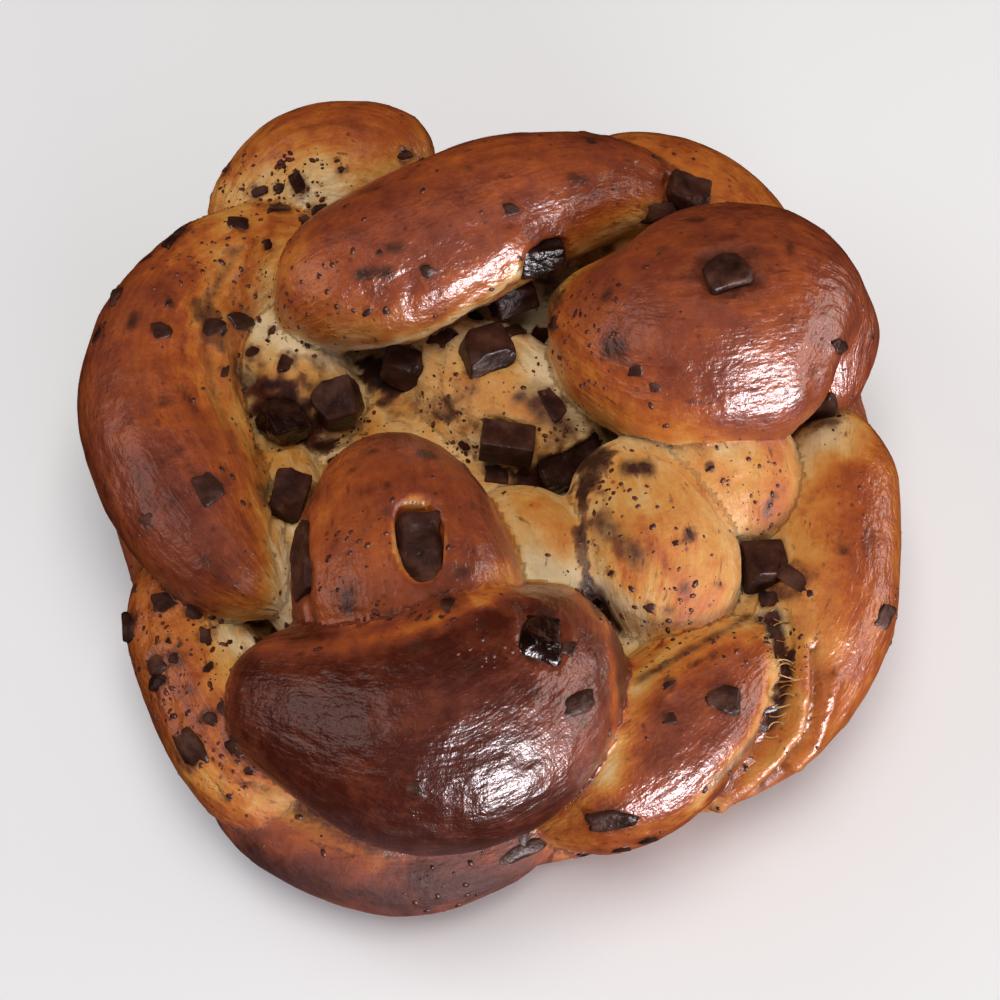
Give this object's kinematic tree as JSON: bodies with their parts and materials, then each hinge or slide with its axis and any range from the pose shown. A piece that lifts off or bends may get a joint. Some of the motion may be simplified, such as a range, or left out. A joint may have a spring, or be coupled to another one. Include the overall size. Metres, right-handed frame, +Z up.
{
  "type": "braided loaf",
  "caption": "Round braided loaf of enriched bread with a glossy brown crust, pale dough in its folds and chocolate chunks, standing on a flat base.",
  "frame": {"origin": "middle of the loaf's outline, on the flat base it stands on", "axes": "+Z is up; -Y is the front, where the widest strand bulges out towards the viewer; +X is the viewer's right; +Y is the longest way across"},
  "size_m": [0.1925, 0.2042, 0.0771],
  "materials": {
    "crust": "egg-washed baked crust, satin to gloss",
    "chocolate": "dark chocolate, softly glossy"
  },
  "bodies": {
    "root": {"braided_loaf": "crust", "chunk_back_pale": "chocolate", "chunk_left_block": "chocolate", "chunk_left_shadow": "chocolate", "chunk_under_top": "chocolate", "chunk_middle_bar": "chocolate", "chunk_middle_melted": "chocolate", "chunk_right_square": "chocolate", "chunk_blister": "chocolate", "chunk_far_back": "chocolate", "chunk_right_crown": "chocolate", "chunk_between_crowns": "chocolate", "chunk_crevice": "chocolate", "chunk_left_strip": "chocolate", "chunk_long_sliver": "chocolate", "chunk_front_crown": "chocolate"}
  },
  "joints": []
}
